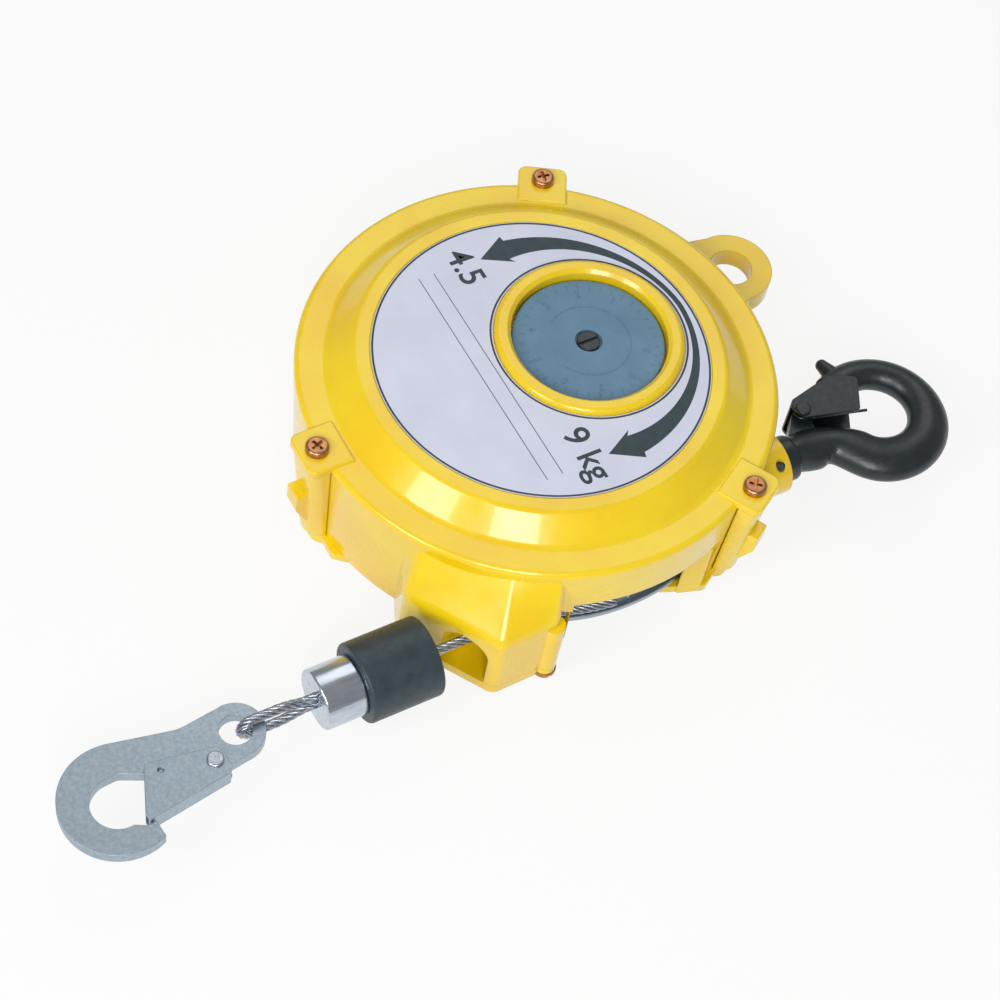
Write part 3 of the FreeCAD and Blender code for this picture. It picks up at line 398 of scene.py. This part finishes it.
def ropeAlong(name, points):
    values = {"Strands": rope["strands"], "Lay": rope["lay"] * mm, "Strand Radius": rope["strandRadius"] * mm,
              "Strand Out": rope["strandOut"] * mm, "Step": rope["step"] * mm}
    return runTree(curveObject(name + "Path", points), strandsOnCurve, values, name)


# Straight run from the drum to the swaged sleeve; it draws out between the casing and the sleeve
topOfRun = wireHigh[1]
endOfRun = wireLow[1]
straight = ropeAlong("loadWire", [(wireCentre[0], topOfRun - 0.1 * mm, wireCentre[2]),
                                  (wireCentre[0], endOfRun + 0.1 * mm, wireCentre[2])])
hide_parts("wire_rope")
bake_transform(straight)

# Three turns lying in the tapered groove
winding = {"turns": 3, "pitch": 4.4, "taper": 1.1, "stepsPerTurn": 72}


def woundPoint(turn):
    radius = wireCentre[0] + winding["taper"] * mm * turn
    angle = 2 * math.pi * turn
    return (radius * math.cos(angle), radius * math.sin(angle), wireCentre[2] - winding["pitch"] * mm * turn)


woundSteps = winding["turns"] * winding["stepsPerTurn"]
wound = ropeAlong("woundWire", [woundPoint((k + 0.1) / winding["stepsPerTurn"]) for k in range(woundSteps)])
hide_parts("wire_on_drum")
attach(wound, "drum")

# Loop round the hook's eye, with both legs gathered into the sleeve
loop = {"legGap": 2.3, "bend": 4.8, "straightOut": 3.0, "spread": 12.0, "inSleeve": 4.8, "steps": 24}
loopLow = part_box("wire_loop")[0]


def loopPoints():
    gap, bend = sized(loop, "legGap", "bend")
    mouth = sleeveLow[1]
    bendCentre = loopLow[1] + wireRadius + bend
    side = []
    steps = loop["steps"]
    for k in range(steps + 1):
        t = k / steps
        y = mouth - loop["straightOut"] * mm - t * loop["spread"] * mm
        side.append((y, gap + (bend - gap) * (3 * t * t - 2 * t ** 3)))
    upper = [(mouth + loop["inSleeve"] * mm, gap)] + side + [(bendCentre, bend)]
    turn = [(bendCentre - bend * math.sin(math.pi * k / steps), bend * math.cos(math.pi * k / steps))
            for k in range(1, steps)]
    lower = [(y, -z) for y, z in reversed(upper)]
    return [(wireCentre[0], y, wireCentre[2] + z) for y, z in upper + turn + lower]


eyeLoop = ropeAlong("eyeLoop", loopPoints())
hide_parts("wire_loop")
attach(eyeLoop, "wire_end")


print("label print")
printing = {"film": 0.02, "rim": 0.8, "rimInset": 0.25, "collarRadius": 38.3, "ruleHalf": 51.8,
            "rules": (-20.2, -26.9), "ruleWidth": 0.38}
arrow = {"topOut": 63.5, "topIn": 61.3, "endOut": 57.4, "endIn": 48.0, "spread": 76.5, "outPower": 1.2,
         "inPower": 1.6, "headOut": 59.6, "headIn": 46.4, "tip": (51.0, 0.4), "headAngle": 77.5}
numerals = {"size": 14.6, "bold": 0.012, "left": (-49.8, -11.6), "right": (47.6, -11.6)}


def flatPiece(name, outline, holes, thickness, level, finish):
    curve = bpy.data.curves.new(name, "CURVE")
    curve.dimensions = "2D"
    curve.fill_mode = "BOTH"
    curve.extrude = thickness * mm / 2
    for ring in [outline] + holes:
        spline = curve.splines.new("POLY")
        spline.points.add(len(ring) - 1)
        spline.use_cyclic_u = True
        for spot, point in zip(spline.points, ring):
            spot.co = (point[0], point[1], 0, 1)
    holder = bpy.data.objects.new(name + "Curve", curve)
    scene.collection.objects.link(holder)
    bpy.context.view_layer.update()
    mesh = bpy.data.meshes.new_from_object(holder.evaluated_get(bpy.context.evaluated_depsgraph_get()))
    bpy.data.objects.remove(holder)
    mesh.transform(Matrix.Translation((0, 0, level + thickness * mm / 2)))
    mesh.materials.clear()
    mesh.materials.append(finishes[finish])
    piece = bpy.data.objects.new(name, mesh)
    scene.collection.objects.link(piece)
    return piece


def circle(radius, centre=(0, 0), count=180):
    return [(centre[0] + radius * math.cos(2 * math.pi * k / count),
             centre[1] + radius * math.sin(2 * math.pi * k / count)) for k in range(count)]


def rect(x0, x1, y0, y1):
    return [(x0, y0), (x1, y0), (x1, y1), (x0, y1)]


def arrowOutline():
    steps = 48

    def edge(top, end, power, share):
        return top - (top - end) * abs(share) ** power
    points = []
    for k in range(-steps, steps + 1):      # outer edge, left to right
        share = k / steps
        angle = math.radians(90 - arrow["spread"] * share)
        r = edge(arrow["topOut"], arrow["endOut"], arrow["outPower"], share)
        points.append((r * math.cos(angle), r * math.sin(angle)))
    lean = math.radians(90 - arrow["headAngle"])
    head = [(arrow["headOut"] * math.cos(lean), arrow["headOut"] * math.sin(lean)), arrow["tip"],
            (arrow["headIn"] * math.cos(lean) * 0.98, arrow["headOut"] * math.sin(lean))]
    points += head
    for k in range(steps, -steps - 1, -1):      # inner edge, right to left
        share = k / steps
        angle = math.radians(90 - arrow["spread"] * share)
        r = edge(arrow["topIn"], arrow["endIn"], arrow["inPower"], share)
        points.append((r * math.cos(angle), r * math.sin(angle)))
    points += [(-x, y) for x, y in reversed(head)]
    return [(x * mm, y * mm) for x, y in points]


def lettering(name, body, size, centre, baseline, level, thickness, finish, bold=0.0, turn=0.0, middle=False):
    text = bpy.data.curves.new(name, "FONT")
    text.body = body
    text.size = size * mm
    text.offset = bold * size * mm
    text.extrude = thickness * mm / 2
    text.align_x = "CENTER"
    if middle:
        text.align_y = "CENTER"
    holder = bpy.data.objects.new(name + "Text", text)
    scene.collection.objects.link(holder)
    bpy.context.view_layer.update()
    mesh = bpy.data.meshes.new_from_object(holder.evaluated_get(bpy.context.evaluated_depsgraph_get()))
    bpy.data.objects.remove(holder)
    place = Matrix.Translation((centre, baseline, level + thickness * mm / 2))
    mesh.transform(place @ Matrix.Rotation(turn, 4, "Z"))
    mesh.materials.clear()
    mesh.materials.append(finishes[finish])
    piece = bpy.data.objects.new(name, mesh)
    scene.collection.objects.link(piece)
    return piece


ink = printing["film"]
collarAt = (0, dialAxis[1])
rimOut = plateRadius - printing["rimInset"] * mm
prints = [
    flatPiece("labelRimLine", circle(rimOut), [circle(rimOut - printing["rim"] * mm)], ink, labelTop, "ink"),
    flatPiece("collarLine", circle((printing["collarRadius"] + printing["rim"]) * mm, collarAt),
              [circle(printing["collarRadius"] * mm, collarAt)], ink, labelTop, "ink"),
    flatPiece("turnArrow", arrowOutline(), [], ink, labelTop, "ink"),
    lettering("lowLoadFigures", "4.5", numerals["size"], numerals["left"][0] * mm, numerals["left"][1] * mm,
              labelTop, ink, "ink", numerals["bold"]),
    lettering("highLoadFigures", "9 kg", numerals["size"], numerals["right"][0] * mm,
              numerals["right"][1] * mm, labelTop, ink, "ink", numerals["bold"]),
]
half = printing["ruleHalf"] * mm
for number, y in enumerate(printing["rules"]):
    rule = rect(-half, half, y * mm, (y + printing["ruleWidth"]) * mm)
    prints.append(flatPiece("labelRule%d" % (number + 1), rule, [], ink, labelTop, "fineInk"))
for piece in prints:
    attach(piece, "casing")


print("dial marks")
dialMarks = {"raise": 0.14, "arcRadius": 16.6, "arcWidth": 0.5, "arcFrom": -62, "arcTo": 212, "ticks": 36,
             "tickIn": 25.2, "tickOut": 27.2, "tickWidth": 0.45, "figures": 9, "figureRadius": 22.6,
             "figureSize": 4.6, "bold": 0.01}


def arcStrip(radius, width, start, end, count=60):
    spots = [math.radians(start + (end - start) * k / count) for k in range(count + 1)]
    outer = [((radius + width / 2) * math.cos(a), (radius + width / 2) * math.sin(a)) for a in spots]
    inner = [((radius - width / 2) * math.cos(a), (radius - width / 2) * math.sin(a))
             for a in reversed(spots)]
    return [(x * mm, y * mm + dialAxis[1]) for x, y in outer + inner]


def tickTree():
    tree, given, out = newTree("ticksOnCircle", {
        "Count": ("Int", 36), "Radius": ("Float", 0.026), "Length": ("Float", 0.002),
        "Width": ("Float", 0.0004), "Height": ("Float", 0.0002)})
    ring = addNode(tree, "GeometryNodeMeshCircle", None, {"Vertices": given.outputs["Count"],
                                                          "Radius": given.outputs["Radius"]})
    size = addNode(tree, "ShaderNodeCombineXYZ", None, {0: given.outputs["Length"], 1: given.outputs["Width"],
                                                        2: given.outputs["Height"]})
    bar = addNode(tree, "GeometryNodeMeshCube", None, {"Size": size.outputs[0]})
    turn = addNode(tree, "FunctionNodeAlignRotationToVector", {"axis": "X"},
                   {"Vector": addNode(tree, "GeometryNodeInputPosition").outputs[0]})
    bars = addNode(tree, "GeometryNodeInstanceOnPoints", None,
                   {"Points": ring.outputs[0], "Instance": bar.outputs[0], "Rotation": turn.outputs[0]})
    real = addNode(tree, "GeometryNodeRealizeInstances", None, {0: bars.outputs[0]})
    done = addNode(tree, "GeometryNodeSetMaterial", {"Material": finishes["nylon"]},
                   {"Geometry": real.outputs[0]})
    tree.links.new(done.outputs[0], out.inputs[0])
    return tree


raised = dialMarks["raise"]
seed = bpy.data.objects.new("tickSeed", bpy.data.meshes.new("tickSeed"))
scene.collection.objects.link(seed)
ticks = runTree(seed, tickTree(), {
    "Count": dialMarks["ticks"], "Radius": (dialMarks["tickIn"] + dialMarks["tickOut"]) / 2 * mm,
    "Length": (dialMarks["tickOut"] - dialMarks["tickIn"]) * mm, "Width": dialMarks["tickWidth"] * mm,
    "Height": 2 * raised * mm}, "dialTicks")
ticks.data.transform(Matrix.Translation((dialAxis[0], dialAxis[1], dialTop)))
arc = arcStrip(dialMarks["arcRadius"], dialMarks["arcWidth"], dialMarks["arcFrom"], dialMarks["arcTo"])
marks = [ticks, flatPiece("dialArc", arc, [], raised, dialTop, "nylon")]
for number in range(1, dialMarks["figures"] + 1):
    angle = 2 * math.pi * number / (dialMarks["figures"] + 1)
    reach = dialMarks["figureRadius"] * mm
    marks.append(lettering("dialFigure%d" % number, str(number), dialMarks["figureSize"],
                           dialAxis[0] + reach * math.sin(-angle), dialAxis[1] + reach * math.cos(angle),
                           dialTop, raised, "nylon", dialMarks["bold"], angle, True))
for piece in marks:
    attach(piece, "adjuster")


print("stage")
studio = {"floorHalf": 6.0, "floorBelow": 1.5, "world": 0.34, "key": 11.0, "side": 8.5, "fill": 5.5}


def whiteFloor():
    # Matt white board that keeps the shadow and reads as clean paper to the camera and in metal.
    material, tree, shader, place = startMaterial("whiteBoard", 0.9)
    shader.inputs["Base Color"].default_value = (0.82, 0.82, 0.82, 1)
    rays = addNode(tree, "ShaderNodeLightPath")
    either = addNode(tree, "ShaderNodeMath", {"operation": "MAXIMUM"},
                     {0: rays.outputs["Is Camera Ray"], 1: rays.outputs["Is Glossy Ray"]}).outputs[0]
    seen = addNode(tree, "ShaderNodeMath", {"operation": "MAXIMUM"},
                   {0: either, 1: rays.outputs["Is Transmission Ray"]}).outputs[0]
    share = addNode(tree, "ShaderNodeMath", {"operation": "MULTIPLY", 1: 0.85}, {0: seen}).outputs[0]
    glow = addNode(tree, "ShaderNodeEmission", {"Color": (1, 1, 1, 1), "Strength": 1.0})
    mix = addNode(tree, "ShaderNodeMixShader", None, {0: share, 1: shader.outputs[0], 2: glow.outputs[0]})
    tree.links.new(mix.outputs[0], tree.nodes["Material Output"].inputs["Surface"])
    return material


finishes["floor"] = whiteFloor()
reach = studio["floorHalf"]
level = cadBounds[0][2] - studio["floorBelow"] * mm
floor = meshPiece("floor", [(-reach, -reach, level), (reach, -reach, level), (reach, reach, level),
                            (-reach, reach, level)], [(0, 1, 2, 3)], "floor")

world = bpy.data.worlds.new("studio")
scene.world = world
world.use_nodes = True
worldTree = world.node_tree
rays = addNode(worldTree, "ShaderNodeLightPath")
seen = addNode(worldTree, "ShaderNodeMath", {"operation": "MAXIMUM"},
               {0: rays.outputs["Is Camera Ray"], 1: rays.outputs["Is Transmission Ray"]}).outputs[0]
strength = addNode(worldTree, "ShaderNodeMapRange", {"To Min": studio["world"], "To Max": 1.0},
                   {"Value": seen})
worldTree.links.new(strength.outputs[0], worldTree.nodes["Background"].inputs["Strength"])
worldTree.nodes["Background"].inputs["Color"].default_value = (1, 1, 1, 1)


def softbox(name, direction, distance, width, height, power):
    light = bpy.data.lights.new(name, "AREA")
    light.shape = "RECTANGLE"
    light.size = width
    light.size_y = height
    light.energy = power
    lamp = bpy.data.objects.new(name, light)
    scene.collection.objects.link(lamp)
    away = Vector(direction).normalized()
    lamp.location = away * distance
    lamp.rotation_euler = away.to_track_quat("Z", "Y").to_euler()
    return lamp


softbox("lowSoftbox", (0.18, -0.75, 0.63), 1.6, 0.5, 0.7, studio["side"])
softbox("frontSoftbox", (0.62, -0.41, 0.67), 1.6, 0.5, 0.7, studio["key"])
softbox("highSoftbox", (-0.55, 0.35, 0.9), 1.9, 1.2, 1.2, studio["fill"])

camera = bpy.data.objects.new("camera", bpy.data.cameras.new("camera"))
scene.collection.objects.link(camera)
camera.data.lens = 89.81
camera.data.sensor_width = 36.0
right = Vector((0.4762876, 0.87094472, 0.12085289))
up = Vector((-0.75916867, 0.33797286, 0.55627088))
back = Vector((0.44363618, -0.35669265, 0.82216622))
stand = Vector((0.46061, -0.37546, 0.82021))
camera.matrix_world = Matrix.Translation(stand) @ Matrix((right, up, back)).transposed().to_4x4()
scene.camera = camera
scene.view_settings.view_transform = "Standard"
